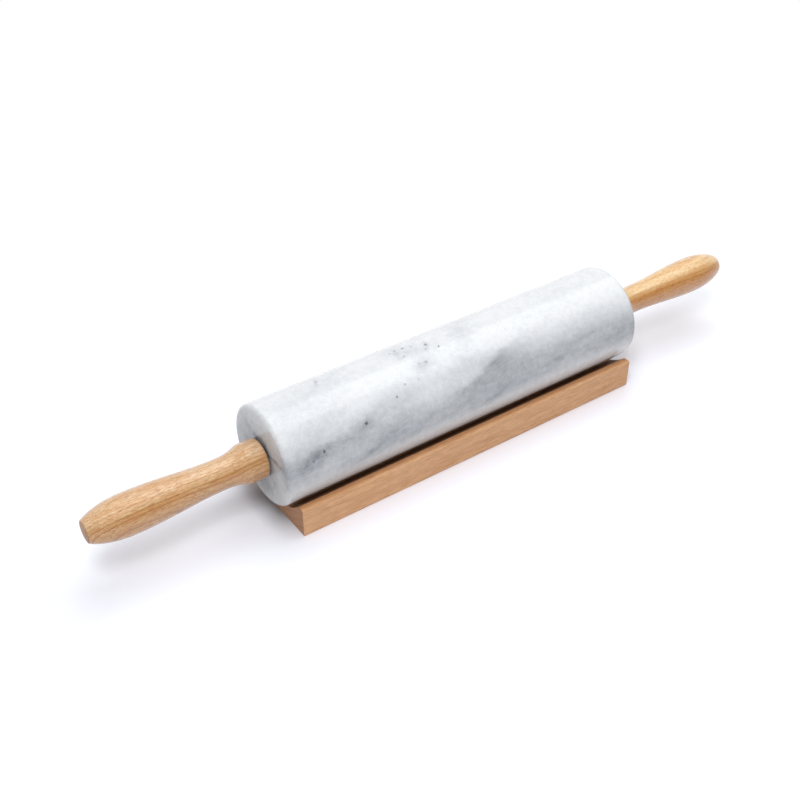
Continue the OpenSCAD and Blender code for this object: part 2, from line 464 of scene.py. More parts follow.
def group_growth_rings():
    """Growth rings of timber cut along X, as flat layers with a gentle wander."""
    group, given, result = start_group("growth_rings", [
        ("Place", "NodeSocketVector", None),
        ("Across Rings", "NodeSocketVector", (0.0, 1.0, 0.0)),
        ("Spacing", "NodeSocketFloat", 2.0),
        ("Wander", "NodeSocketFloat", 1.0),
    ], [("Line", "NodeSocketFloat"), ("Bloom", "NodeSocketFloat")])
    depth = vector_sum(group, "DOT_PRODUCT", given["Place"], given["Across Rings"])["Value"]
    slow = noise(group, stretch(group, given["Place"], (0.016, 0.07, 0.07)), 1.0, 2.0)
    slow = calculate(group, "SUBTRACT", slow, 0.5)
    fine = noise(group, stretch(group, given["Place"], (0.06, 0.5, 0.5)), 1.0, 3.0)
    fine = calculate(group, "SUBTRACT", fine, 0.5)
    moved = calculate(group, "MULTIPLY_ADD", slow, calculate(group, "MULTIPLY", given["Wander"], 6.0), depth)
    moved = calculate(group, "MULTIPLY_ADD", fine, calculate(group, "MULTIPLY", given["Wander"], 0.9), moved)
    count = calculate(group, "DIVIDE", moved, given["Spacing"])
    share = calculate(group, "FRACT", count)
    number = calculate(group, "FLOOR", count)
    drawn = add_node(group, "ShaderNodeTexWhiteNoise", {"W": number}, noise_dimensions="1D")
    luck = drawn.outputs["Value"]
    rise = ramp(group, share, 0.55, 0.93)
    fall = ramp(group, share, 0.94, 1.0, 1.0, 0.0)
    line = calculate(group, "MULTIPLY", rise, fall)
    strength = ramp(group, luck, 0.0, 1.0, 0.25, 1.0)
    bloom = calculate(group, "MULTIPLY", ramp(group, share, 0.0, 1.0), luck)
    group.links.new(calculate(group, "MULTIPLY", line, strength), result["Line"])
    group.links.new(bloom, result["Bloom"])
    return group


def group_pore_dashes():
    """Short dark dashes of open pores that run along X."""
    group, given, result = start_group("pore_dashes", [
        ("Place", "NodeSocketVector", None),
        ("Length", "NodeSocketFloat", 3.0),
        ("Width", "NodeSocketFloat", 0.3),
        ("Share", "NodeSocketFloat", 0.3),
    ], [("Dashes", "NodeSocketFloat")])
    along = calculate(group, "DIVIDE", 1.0, given["Length"])
    across = calculate(group, "DIVIDE", 1.0, given["Width"])
    spots = noise(group, stretch_along(group, given["Place"], along, across), 1.0, 1.0, 0.4)
    low = calculate(group, "SUBTRACT", 0.72, calculate(group, "MULTIPLY", given["Share"], 0.3))
    high = calculate(group, "ADD", low, 0.07)
    made = add_node(group, "ShaderNodeMapRange", {
        "Value": spots, "From Min": low, "From Max": high,
    }, interpolation_type="SMOOTHSTEP")
    group.links.new(made.outputs["Result"], result["Dashes"])
    return group


def group_long_streaks():
    """Lengthwise streaks, short flecks and fine fibres of lighter and darker timber."""
    group, given, result = start_group("long_streaks", [
        ("Place", "NodeSocketVector", None),
        ("Width", "NodeSocketFloat", 1.0),
    ], [("Streaks", "NodeSocketFloat"), ("Flecks", "NodeSocketFloat"), ("Fibres", "NodeSocketFloat")])
    across = calculate(group, "DIVIDE", 1.0, given["Width"])
    long = noise(group, stretch_along(group, given["Place"], 0.03, across), 1.0, 2.0)
    group.links.new(ramp(group, long, 0.3, 0.7), result["Streaks"])
    short = noise(group, stretch(group, given["Place"], (0.22, 1.7, 1.7)), 1.0, 2.0, 0.6)
    group.links.new(ramp(group, short, 0.42, 0.62), result["Flecks"])
    fine = noise(group, stretch(group, given["Place"], (0.22, 5.0, 5.0)), 1.0, 3.0, 0.6)
    group.links.new(ramp(group, fine, 0.3, 0.7), result["Fibres"])
    return group


def group_end_grain():
    """Where timber is cut across, at the ends along X, and the dots of its pores there."""
    group, given, result = start_group("end_grain", [
        ("Place", "NodeSocketVector", None),
    ], [("On End", "NodeSocketFloat"), ("Dots", "NodeSocketFloat")])
    normal = add_node(group, "ShaderNodeTexCoord").outputs["Normal"]
    lengthwise = calculate(group, "ABSOLUTE", split(group, normal)[0])
    group.links.new(ramp(group, lengthwise, 0.7, 0.97), result["On End"])
    dots = noise(group, given["Place"], 2.6, 3.0, 0.7)
    group.links.new(ramp(group, dots, 0.4, 0.7), result["Dots"])
    return group


def group_handling_marks():
    """Faint smears and fine scuffs that vary how glossy a surface is."""
    group, given, result = start_group("handling_marks", [
        ("Place", "NodeSocketVector", None),
        ("Least", "NodeSocketFloat", 0.1),
        ("Most", "NodeSocketFloat", 0.2),
    ], [("Roughness", "NodeSocketFloat")])
    smears = noise(group, given["Place"], 0.06, 3.0, 0.55)
    scuffs = noise(group, stretch(group, given["Place"], (0.5, 2.0, 2.0)), 1.0, 3.0, 0.6)
    mixed = calculate(group, "MULTIPLY_ADD", scuffs, 0.35, calculate(group, "MULTIPLY", smears, 0.65))
    made = add_node(group, "ShaderNodeMapRange", {
        "Value": mixed, "From Min": 0.32, "From Max": 0.68,
        "To Min": given["Least"], "To Max": given["Most"],
    })
    group.links.new(made.outputs["Result"], result["Roughness"])
    return group


def group_placed_spot():
    """Soft spot at one place, such as a mineral grain, a cloudy patch in stone or a patch of painted shade.
    """
    group, given, result = start_group("placed_spot", [
        ("Place", "NodeSocketVector", None),
        ("Middle", "NodeSocketVector", None),
        ("Turn", "NodeSocketVector", None),
        ("Reach", "NodeSocketVector", (1.0, 1.0, 1.0)),
        ("Strength", "NodeSocketFloat", 1.0),
        ("So Far", "NodeSocketFloat", 0.0),
    ], [("Mask", "NodeSocketFloat")])
    local = add_node(group, "ShaderNodeMapping", {
        "Vector": given["Place"], "Location": given["Middle"],
        "Rotation": given["Turn"], "Scale": given["Reach"],
    }, vector_type="TEXTURE").outputs["Vector"]
    distance = vector_sum(group, "LENGTH", local)["Value"]
    spot = ramp(group, distance, 0.0, 1.0, 1.0, 0.0)
    mask = calculate(group, "MULTIPLY_ADD", spot, given["Strength"], given["So Far"])
    group.links.new(mask, result["Mask"])
    return group


growth_rings = group_growth_rings()
pore_dashes = group_pore_dashes()
long_streaks = group_long_streaks()
end_grain = group_end_grain()
handling_marks = group_handling_marks()
placed_spot = group_placed_spot()


# Materials

# The stone's clouds: place along the barrel, angle from the top towards the
# front, tilt, length and width in millimetres, and strength
CLOUDS = [
    (-109, 73, 18, 22, 9.1, 0.38),
    (-89, 70, 2, 27, 13.5, 0.34),
    (-74, 58, 12, 9, 5.3, 0.21),
    (-122, 65, 21, 63, 13.3, 0.27),
    (-66, 59, 13, 59, 14.4, 0.31),
    (-67, 84, 19, 40, 9.8, 0.23),
    (-48, 90, 9, 67, 20.6, 0.57),
    (-14, 72, 9, 39, 6.4, 0.14),
    (-13, 58, -27, 22, 13.5, 0.15),
    (9, 47, -6, 40, 10.8, 0.21),
    (5, 68, 23, 44, 10.8, 0.34),
    (-1, 96, 5, 43, 12.4, 0.28),
    (46, 89, 5, 70, 19.0, 0.42),
    (118, 81, 1, 69, 21.5, 0.59),
    (60, 65, 10, 70, 14.1, 0.27),
    (26, 65, 25, 48, 16.7, 0.31),
    (8, 5, 60, 70, 12.2, 0.10),
    (-30, -4, 60, 12, 26.0, 0.18),
    (-25, 24, 4, 13, 6.6, 0.23),
    (-103, 19, 32, 56, 26.0, 0.10),
    (-118, 89, -13, 65, 18.1, 0.44),
    (10, 57, 19, 26, 2.8, 0.14),
    (22, 47, 30, 10, 4.0, 0.11),
    (-74, 93, 20, 17, 3.0, 0.11),
    (-112, 70, 16, 16, 4.5, 0.16),
    (13, 91, 12, 14, 3.0, 0.13),
    (65, 80, 5, 16, 2.5, 0.10),
    (-87, -11, 75, 8, 1.8, 0.22),
    (-80, -12, 0, 26, 14.0, 0.06),
    (7, -8, 0, 14, 14.0, 0.06),
    (-35, -5, 80, 9, 3.5, 0.14),
    (-17, 1, 65, 9, 3.0, 0.18),
    (-27, 21, 30, 9, 4.5, 0.12),
]
CLOUD_DEPTH = 12.0

# The clouds round the stone fade low down, as painted light on its underside:
# the heights from the axle between which they do, and the strengths at those
# heights
CLOUDS_FADE = (-15.0, 2.0, 0.14, 0.95)

# Clouds, a thin vein and painted shade on the end faces: end, place across and up
# from the axle, tilt, length, width and strength. The first spot on each end
# darkens its face towards the middle, partly as grey stone and partly as painted
# shade; the third and fourth, just above the left collar, are a painted shadow
# of the collar
FACE_CLOUDS_AND_SHADE = [
    (-1, 4.0, -3.0, 0.0, 46.0, 46.0, 0.82),
    (-1, -18.0, 6.6, 0.0, 13.0, 2.8, 0.38),
    (-1, -6.5, 9.5, 38.0, 9.0, 4.5, 0.45),
    (-1, 3.5, 11.5, -10.0, 9.0, 3.5, 0.32),
    (-1, 14.0, 14.0, 25.0, 10.0, 4.0, 0.15),
    (-1, 4.0, -19.0, -10.0, 18.0, 9.0, 0.22),
    (1, 0.0, 0.0, 0.0, 46.0, 46.0, 0.70),
    (1, 8.0, 15.0, 20.0, 20.0, 6.0, 0.30),
    (1, -10.0, -14.0, 20.0, 24.0, 8.0, 0.25),
]
FACE_SPOT_DEPTH = 5.0

# Dark grains in the stone: place, angle, radius and strength
GRAINS = [
    (-103.4, 67.5, 1.5, 1.0),
    (-111.0, 73.0, 1.2, 0.7),
    (-115.5, 74.0, 1.0, 0.6),
    (-74.6, 58.0, 1.7, 1.0),
    (-51.4, 45.0, 1.0, 0.8),
    (-43.4, 35.8, 0.8, 0.6),
    (-34.0, 36.8, 0.9, 0.5),
    (-24.0, 22.0, 1.6, 0.5),
    (-28.5, 20.5, 1.0, 0.4),
    (-10.6, 9.5, 1.3, 0.9),
    (-16.0, -0.5, 1.6, 0.8),
    (-18.5, 6.0, 1.0, 0.4),
    (-29.0, -10.5, 1.2, 0.9),
    (-34.4, -11.0, 1.1, 0.6),
    (-38.0, -10.5, 1.1, 0.6),
    (-24.0, -7.5, 1.2, 0.4),
    (-33.0, 4.0, 1.6, 0.3),
    (-86.5, -12.5, 1.3, 0.5),
    (90.6, 65.0, 1.4, 0.2),
]
GRAIN_TILT = 20.0
GRAIN_DEPTH = 1.5


def on_barrel(along, angle, tilt=0.0):
    """Point on the barrel's surface, and the turn that lays a shape flat on it."""
    turn = math.radians(angle)
    middle = (along, -barrel_r * math.sin(turn), barrel_r * math.cos(turn))
    laid = Matrix.Rotation(turn, 3, "X") @ Matrix.Rotation(math.radians(tilt), 3, "Z")
    return middle, tuple(laid.to_euler("XYZ"))


def warp(tree, place, push, reach):
    """Place pushed about by a noise's colour, up to half the reach each way."""
    moved = vector_sum(tree, "MULTIPLY_ADD", push, (reach, reach, reach), place)[0]
    back = reach / 2
    return vector_sum(tree, "SUBTRACT", moved, (back, back, back))[0]


def place_clouds_and_shade(tree, place, height):
    """Grey clouds at their places round the stone, weaker low down as painted light, and clouds and painted
    shade over its end faces.
    """
    cloud_and_shade = 0.0
    for along, angle, tilt, length, width, strength in CLOUDS:
        middle, turn = on_barrel(along, angle, tilt)
        cloud_and_shade = use_group(tree, placed_spot, {
            "Place": place, "Middle": middle, "Turn": turn, "Reach": (length, width, CLOUD_DEPTH),
            "Strength": strength, "So Far": cloud_and_shade,
        })["Mask"]
    # Fewer clouds low down: painted light on the stone's underside
    cloud_and_shade = calculate(tree, "MULTIPLY", cloud_and_shade, ramp(tree, height, *CLOUDS_FADE))
    # Clouds, a vein and painted shade of the collar on the end faces
    for end, across, up, tilt, length, width, strength in FACE_CLOUDS_AND_SHADE:
        cloud_and_shade = use_group(tree, placed_spot, {
            "Place": place, "Middle": (end * barrel_half, across, up),
            "Turn": (math.radians(tilt), 0.0, 0.0), "Reach": (FACE_SPOT_DEPTH, length, width),
            "Strength": strength, "So Far": cloud_and_shade,
        })["Mask"]
    return cloud_and_shade


def place_grains(tree, place):
    """Dark mineral grains at their places on the stone."""
    grains = 0.0
    for along, angle, radius, strength in GRAINS:
        middle, turn = on_barrel(along, angle, GRAIN_TILT)
        grains = use_group(tree, placed_spot, {
            "Place": place, "Middle": middle, "Turn": turn,
            "Reach": (radius, radius, radius * GRAIN_DEPTH),
            "Strength": strength, "So Far": grains,
        })["Mask"]
    return grains


# Colours of the stone, and the tint of its dull crystals
MARBLE_PALE = rgb(239, 241, 244)
MARBLE_GREY = rgb(121, 129, 138)
MARBLE_GRAIN = rgb(84, 88, 92)
CRYSTAL_TINT = (0.68, 0.71, 0.75, 1.0)

# The veins are flat layers: how they lean, how far apart they lie, how wide
# they are and where they start, in millimetres, and how strongly they show
VEIN_LAYERS = (-0.22, 0.03, 1.0)
VEIN_SPACING = 10.0
VEIN_WIDTH = 5.0
VEIN_START = 387.0
VEIN_STRENGTH = 0.42
HAZE_STRENGTH = 0.35

# Lean of the fine wisps in the clouds, in degrees
WISP_LEAN = -14.0

# The veins fade towards this side, which the placed clouds cover, and over
# these millimetres of the barrel's left end
VEINS_FACE = (0.0, 0.75, -0.66)
VEINS_END = (2.0, 12.0)


def marble_material():
    """White marble with soft grey clouds, sugary crystals and veins that rise to the right."""
    material, tree, shader, place = start_material("polished_marble")
    wide = noise(tree, stretch(tree, place, (0.012, 0.03, 0.03)), 1.0, 3.0, 0.55, "Color")
    close = noise(tree, place, 0.16, 4.0, 0.6, "Color")
    small = noise(tree, place, 0.55, 3.0, 0.6, "Color")
    bent = warp(tree, warp(tree, place, wide, 14.0), close, 4.5)

    level = vector_sum(tree, "DOT_PRODUCT", bent, VEIN_LAYERS)["Value"]
    swing = calculate(tree, "PINGPONG", calculate(tree, "ADD", level, VEIN_START), VEIN_SPACING)
    vein = calculate(tree, "POWER", ramp(tree, swing, 0.0, VEIN_WIDTH, 1.0, 0.0), 1.6)
    patches = noise(tree, stretch(tree, place, (0.018, 0.05, 0.05), (3.1, 0.4, 0.9)), 1.0, 2.0)
    vein = calculate(tree, "MULTIPLY", vein, ramp(tree, patches, 0.42, 0.66))
    haze = noise(tree, stretch(tree, bent, (0.035, 0.09, 0.16)), 1.0, 5.0, 0.62)
    haze = calculate(tree, "MULTIPLY", ramp(tree, haze, 0.42, 0.75), HAZE_STRENGTH)
    veins = calculate(tree, "MULTIPLY_ADD", vein, VEIN_STRENGTH, haze)
    behind = vector_sum(tree, "DOT_PRODUCT", place, VEINS_FACE)["Value"]
    veins = calculate(tree, "MULTIPLY", veins, ramp(tree, behind, -2.0, 20.0, 0.12, 1.0))
    along, _, height = split(tree, place)
    low, high = (reach - barrel_half for reach in VEINS_END)
    veins = calculate(tree, "MULTIPLY", veins, ramp(tree, along, low, high, 0.1, 1.0))

    # Grey clouds of the stone, with painted shade on its end faces
    cloud_and_shade = place_clouds_and_shade(tree, warp(tree, place, close, 5.0), height)
    lean = (0.0, math.radians(WISP_LEAN), 0.0)
    wisps = stretch(tree, bent, (0.07, 0.33, 0.33), turn=lean)
    wisps = ramp(tree, noise(tree, wisps, 1.0, 4.0, 0.6), 0.3, 0.7, 0.90, 1.12)
    grey = calculate(tree, "MULTIPLY", calculate(tree, "ADD", veins, cloud_and_shade), wisps)
    mottle = ramp(tree, noise(tree, place, 0.28, 4.0, 0.7), 0.3, 0.7, -0.06, 0.08)
    grey = add_node(tree, "ShaderNodeMath", {0: grey, 1: mottle}, operation="ADD", use_clamp=True).outputs[0]
    colour = tint(tree, grey, MARBLE_PALE, MARBLE_GREY)
    crystal = noise(tree, place, 1.1, 3.0, 0.7)
    dull = ramp(tree, crystal, 0.34, 0.66, 0.17, 0.0)
    colour = tint(tree, dull, colour, CRYSTAL_TINT, "MULTIPLY")
    grains = place_grains(tree, warp(tree, place, small, 2.4))
    colour = tint(tree, calculate(tree, "MINIMUM", grains, 1.0), colour, MARBLE_GRAIN)
    tree.links.new(colour, shader.inputs["Base Color"])
    marks = use_group(tree, handling_marks, {"Place": place, "Least": 0.1, "Most": 0.18})
    tree.links.new(marks["Roughness"], shader.inputs["Roughness"])
    add_bump(tree, shader, crystal, 0.03, 0.1)
    shader.inputs["IOR"].default_value = 1.5
    shader.inputs["Subsurface Weight"].default_value = 0.25
    shader.inputs["Subsurface Radius"].default_value = (1.0, 1.0, 1.0)
    shader.inputs["Subsurface Scale"].default_value = 4.0 * MM
    return material


# The two handles' timber: colours of pale and deep wood and of pores, the
# tint of the painted shade at the front, how strongly the grain shows, the growth
# rings' direction, spacing and wander, and the place in the log
HANDLE_WOODS = {
    "left": {
        "pale": rgb(255, 228, 190), "deep": rgb(238, 188, 136), "line": rgb(156, 88, 38),
        "front_shade": (0.80, 0.68, 0.50, 1.0), "contrast": 0.85,
        "across": (0.0, -0.90, -0.44), "spacing": 1.8, "wander": 0.35, "shift": (40.0, 0.0, 0.0),
    },
    "right": {
        "pale": rgb(255, 226, 174), "deep": rgb(245, 185, 113), "line": rgb(178, 104, 42),
        "front_shade": (0.71, 0.48, 0.26, 1.0), "contrast": 0.45,
        "across": (0.0, 0.35, 0.94), "spacing": 2.4, "wander": 0.6, "shift": (300.0, 7.0, 3.0),
    },
}
FIBRE_TINT = (0.62, 0.50, 0.38, 1.0)
END_TINT = (0.84, 0.82, 0.80, 1.0)

# Where the painted shade on the front of each handle starts and where it is
# full, as how far round to the front of the handle: 0 on top and 1 at the front
FRONT_SHADE_FROM = 0.5
FRONT_SHADE_FULL = 0.98


def turned_wood_material(side):
    """Lacquered turned timber of one handle."""
    material, tree, shader, around = start_material("lacquered_" + side + "_handle_wood")
    wood = HANDLE_WOODS[side]
    deep = wood["deep"]
    line = wood["line"]
    contrast = wood["contrast"]
    place = stretch(tree, around, (1.0, 1.0, 1.0), wood["shift"])
    rings = use_group(tree, growth_rings, {
        "Place": place, "Across Rings": wood["across"],
        "Spacing": wood["spacing"], "Wander": wood["wander"],
    })
    streaks = use_group(tree, long_streaks, {"Place": place, "Width": 2.4})
    dashes = use_group(tree, pore_dashes, {
        "Place": place, "Length": 4.2, "Width": 0.34, "Share": 0.5,
    })["Dashes"]
    colour = weak_tint(tree, streaks["Streaks"], contrast, wood["pale"], deep)
    colour = weak_tint(tree, streaks["Flecks"], contrast * 0.88, colour, deep)
    colour = weak_tint(tree, streaks["Fibres"], contrast * 0.8, colour, FIBRE_TINT, "MULTIPLY")
    colour = weak_tint(tree, rings["Bloom"], contrast * 0.4, colour, deep)
    colour = weak_tint(tree, rings["Line"], contrast * 0.7, colour, line)
    colour = weak_tint(tree, dashes, 0.44, colour, line)
    # Painted shade: the front of each handle is tinted darker and deeper in colour
    outward = vector_sum(tree, "NORMALIZE", stretch(tree, around, (0.0, 1.0, 1.0)))[0]
    front = calculate(tree, "MULTIPLY", split(tree, outward)[1], -1.0)
    front = ramp(tree, front, FRONT_SHADE_FROM, FRONT_SHADE_FULL)
    colour = tint(tree, front, colour, wood["front_shade"], "MULTIPLY")
    ends = use_group(tree, end_grain, {"Place": place})
    end_colour = tint(tree, ends["Dots"], colour, line)
    end_colour = tint(tree, 1.0, end_colour, END_TINT, "MULTIPLY")
    colour = tint(tree, ends["On End"], colour, end_colour)
    tree.links.new(colour, shader.inputs["Base Color"])
    marks = use_group(tree, handling_marks, {"Place": place, "Least": 0.24, "Most": 0.36})
    dull_end = calculate(tree, "MULTIPLY", ends["On End"], 0.6)
    dull = calculate(tree, "MAXIMUM", marks["Roughness"], dull_end)
    tree.links.new(dull, shader.inputs["Roughness"])
    tree.links.new(ramp(tree, ends["On End"], 0.0, 1.0, 0.75, 0.05), shader.inputs["Coat Weight"])
    relief = calculate(tree, "MULTIPLY", streaks["Fibres"], 0.5)
    relief = calculate(tree, "MULTIPLY_ADD", dashes, -0.7, relief)
    add_bump(tree, shader, relief, 0.35, 0.1, ("Normal", "Coat Normal"))
    shader.inputs["IOR"].default_value = 1.55
    shader.inputs["Coat Roughness"].default_value = 0.1
    return material


# Colours of the cradle's wood
CRADLE_PALE = rgb(245, 196, 150)
CRADLE_DEEP = rgb(234, 181, 135)
CRADLE_FLECK = rgb(196, 142, 98)
CRADLE_RING = rgb(164, 116, 80)
CRADLE_PORE = rgb(172, 112, 74)
CRADLE_END_PALE = rgb(190, 143, 108)
CRADLE_END_DEEP = rgb(150, 104, 72)
CRADLE_END_RING = rgb(140, 96, 66)
CRADLE_FIBRE_TINT = (0.70, 0.60, 0.50, 1.0)

# Tints of the shade that the stone casts on the lands and in the trough
LAND_SHADE = (0.62, 0.50, 0.38, 1.0)
TROUGH_SHADE = (0.20, 0.165, 0.14, 1.0)

# Where that shade lies, in millimetres from the cradle's middle line, and how
# far below its top
LAND_SHADE_AT = (29.5, 33.6)
LAND_SHADE_BELOW = (1.5, 0.2)
TROUGH_SHADE_START = (16.0, 20.0)
TROUGH_SHADE_FADE = (22.5, 27.8, 0.87, 0.52)
TROUGH_SHADE_END = (28.2, 28.7)


def cradle_wood_material():
    """Oiled, sanded timber with short lengthwise flecks, end grain, and painted shade of the stone on the
    lands and in the trough.
    """
    material, tree, shader, place = start_material("oiled_cradle_wood")
    rings = use_group(tree, growth_rings, {
        "Place": place, "Across Rings": (0.0, 0.5, 0.87), "Spacing": 4.2, "Wander": 0.8,
    })
    streaks = use_group(tree, long_streaks, {"Place": place, "Width": 3.0})
    dashes = use_group(tree, pore_dashes, {
        "Place": place, "Length": 9.0, "Width": 0.24, "Share": 0.45,
    })["Dashes"]
    colour = tint(tree, streaks["Streaks"], CRADLE_PALE, CRADLE_DEEP)
    colour = weak_tint(tree, streaks["Flecks"], 0.25, colour, CRADLE_FLECK)
    colour = weak_tint(tree, streaks["Fibres"], 0.36, colour, CRADLE_FIBRE_TINT, "MULTIPLY")
    colour = weak_tint(tree, rings["Line"], 0.14, colour, CRADLE_RING)
    colour = weak_tint(tree, dashes, 0.5, colour, CRADLE_PORE)
    ends = use_group(tree, end_grain, {"Place": place})
    end_colour = tint(tree, ends["Dots"], CRADLE_END_PALE, CRADLE_END_DEEP)
    end_colour = weak_tint(tree, rings["Line"], 0.5, end_colour, CRADLE_END_RING)
    colour = tint(tree, ends["On End"], colour, end_colour)

    _, across, height = split(tree, place)
    sideways = calculate(tree, "ABSOLUTE", across)
    top = cradle_high.z / MM - axle_height / MM
    low, high = (top - below for below in LAND_SHADE_BELOW)
    # Painted shade of the stone on the lands and in the trough
    on_land = calculate(tree, "MULTIPLY", ramp(tree, sideways, *LAND_SHADE_AT, 1.0, 0.0),
                        ramp(tree, height, low, high))
    colour = weak_tint(tree, on_land, 0.9, colour, LAND_SHADE, "MULTIPLY")
    along_side = calculate(tree, "SUBTRACT", 1.0, ends["On End"])
    in_trough = calculate(tree, "MULTIPLY", ramp(tree, sideways, *TROUGH_SHADE_FADE),
                          ramp(tree, sideways, *TROUGH_SHADE_START))
    in_trough = calculate(tree, "MULTIPLY", in_trough,
                          ramp(tree, sideways, *TROUGH_SHADE_END, 1.0, 0.0))
    in_trough = calculate(tree, "MULTIPLY", in_trough, along_side)
    colour = tint(tree, in_trough, colour, TROUGH_SHADE, "MULTIPLY")
    tree.links.new(colour, shader.inputs["Base Color"])
    marks = use_group(tree, handling_marks, {"Place": place, "Least": 0.5, "Most": 0.62})
    tree.links.new(marks["Roughness"], shader.inputs["Roughness"])
    relief = calculate(tree, "MULTIPLY", streaks["Fibres"], 0.4)
    relief = calculate(tree, "MULTIPLY_ADD", dashes, -0.8, relief)
    add_bump(tree, shader, relief, 0.4, 0.1)
    return material


# The metals: colours of the clean and the stained surface, and the least and
# most roughness
METALS = {
    "drawn_steel": ((0.62, 0.62, 0.64, 1.0), (0.45, 0.45, 0.46, 1.0), 0.22, 0.36),
    "washer_steel": ((0.68, 0.68, 0.70, 1.0), (0.52, 0.52, 0.54, 1.0), 0.2, 0.34),
    "turned_brass": ((0.72, 0.56, 0.28, 1.0), (0.55, 0.40, 0.18, 1.0), 0.22, 0.36),
}
PLASTIC_DARK = (0.014, 0.014, 0.016, 1.0)
PLASTIC_WORN = (0.03, 0.03, 0.033, 1.0)


def turned_metal_material(name):
    """Turned metal with fine rings left by the tool, and slight stains."""
    clean, stained, least, most = METALS[name]
    material, tree, shader, place = start_material(name)
    stains = ramp(tree, noise(tree, place, 0.4, 4.0, 0.6), 0.35, 0.7)
    rings = noise(tree, stretch(tree, place, (9.0, 0.2, 0.2)), 1.0, 2.0)
    tree.links.new(tint(tree, stains, clean, stained), shader.inputs["Base Color"])
    marks = use_group(tree, handling_marks, {"Place": place, "Least": least, "Most": most})
    tree.links.new(marks["Roughness"], shader.inputs["Roughness"])
    add_bump(tree, shader, rings, 0.3, 0.03)
    shader.inputs["Metallic"].default_value = 1.0
    return material


def bushing_material():
    """Dark moulded plastic with a fine dull grain."""
    material, tree, shader, place = start_material("moulded_bushing_plastic")
    grain = noise(tree, place, 3.0, 3.0, 0.6)
    colour = tint(tree, ramp(tree, grain, 0.35, 0.7), PLASTIC_DARK, PLASTIC_WORN)
    tree.links.new(colour, shader.inputs["Base Color"])
    marks = use_group(tree, handling_marks, {"Place": place, "Least": 0.45, "Most": 0.6})
    tree.links.new(marks["Roughness"], shader.inputs["Roughness"])
    add_bump(tree, shader, grain, 0.3, 0.05)
    return material


def dress(piece, material):
    """Gives a piece one material all over."""
    if not piece.data.materials:
        piece.data.materials.append(material)
    for slot in piece.material_slots:
        slot.material = material


# Studio

# The floor's colour to the camera and reflections, and to light that bounces
PAPER_COLOUR = (1.035, 1.06, 1.15)
BOUNCE_COLOUR = (0.67, 0.67, 0.69, 1.0)
WHITE = (1.0, 1.0, 1.0, 1.0)

# The floor fades to white over these metres from the middle of the shadow,
# whose place is scaled and shifted by the values that follow
FADE_AT = (0.25, 0.48)
FADE_SCALE = (1.0, 1.5, 1.0)
FADE_SHIFT = (0.06, 0.03, 0.0)

# Shade where the cradle meets the floor, in metres and strengths: close to
# the board all round, and past its ends but not beyond its sides
FOOT_SHADE = (0.0, 0.03, 0.965, 1.0)
END_SHADE = (0.0, 0.016, 0.62, 0.0)
END_START = (-0.0006, 0.0002)
END_SIDEWAYS = (0.006, 0.036, 1.0, 0.0)


def foot_shade(tree, where):
    """How bright the floor stays close to the cradle, from its shade up to 1."""
    beside = vector_sum(tree, "ABSOLUTE", where)[0]
    beside = vector_sum(tree, "SUBTRACT", beside, (cradle_high.x, cradle_high.y, 0.0))[0]
    beside = vector_sum(tree, "MAXIMUM", beside, (0.0, 0.0, 0.0))[0]
    gap = vector_sum(tree, "LENGTH", beside)["Value"]
    past_end = split(tree, beside)[0]
    aside = calculate(tree, "ABSOLUTE", split(tree, where)[1])
    under = calculate(tree, "MULTIPLY", ramp(tree, past_end, *END_START), ramp(tree, gap, *END_SHADE))
    under = calculate(tree, "MULTIPLY", under, ramp(tree, aside, *END_SIDEWAYS))
    lit = calculate(tree, "SUBTRACT", 1.0, under)
    return calculate(tree, "MULTIPLY", ramp(tree, gap, *FOOT_SHADE), lit)


def floor_material():
    """Pale floor, a little darker at the cradle's foot as painted shade, that is seen to fade to white
    further out.
    """
    material = bpy.data.materials.new("pale_floor")
    material.use_nodes = True
    tree = material.node_tree
    tree.nodes.clear()
    where = add_node(tree, "ShaderNodeTexCoord").outputs["Object"]
    away = vector_sum(tree, "LENGTH", stretch(tree, where, FADE_SCALE, FADE_SHIFT))["Value"]
    fade = ramp(tree, away, *FADE_AT)
    dimmed = add_node(tree, "ShaderNodeVectorMath", {
        0: PAPER_COLOUR, "Scale": foot_shade(tree, where),
    }, operation="SCALE").outputs[0]
    rays = add_node(tree, "ShaderNodeLightPath").outputs
    seen = calculate(tree, "MAXIMUM", rays["Is Camera Ray"], rays["Is Glossy Ray"])
    seen = calculate(tree, "MAXIMUM", seen, rays["Is Transmission Ray"])
    plain = add_node(tree, "ShaderNodeBsdfDiffuse", {"Color": BOUNCE_COLOUR}).outputs[0]
    paper = add_node(tree, "ShaderNodeBsdfDiffuse", {"Color": dimmed}).outputs[0]
    white = add_node(tree, "ShaderNodeEmission", {"Color": WHITE, "Strength": 1.0}).outputs[0]
    shown = add_node(tree, "ShaderNodeMixShader", {0: fade, 1: paper, 2: white}).outputs[0]
    both = add_node(tree, "ShaderNodeMixShader", {0: seen, 1: plain, 2: shown}).outputs[0]
    add_node(tree, "ShaderNodeOutputMaterial", {"Surface": both})
    return material


# The floor's radius in metres, and how far it lies below the cradle
FLOOR_R = 3.0
FLOOR_GAP = 0.02 * MM


def make_floor():
    """Round floor under the cradle, wide enough that its edge is far from the part."""
    mesh = bpy.data.meshes.new("floor")
    rim = []
    for angle in arc(0, 360, FLOOR_STEPS)[:-1]:
        rim.append((FLOOR_R * math.cos(angle), FLOOR_R * math.sin(angle), -FLOOR_GAP))
    mesh.from_pydata(rim, [], [tuple(range(len(rim)))])
    floor = bpy.data.objects.new("floor", mesh)
    bpy.context.scene.collection.objects.link(floor)
    mesh.materials.append(floor_material())


# Light that comes from the whole room
WORLD_FILL = 0.35

# What reflections see of the room: how it dims towards the ceiling, and
# towards the front
CEILING = (0.25, 0.7, 1.0, 0.3)
ROOM_FRONT = (-0.35, 0.25, 0.1, 1.0)


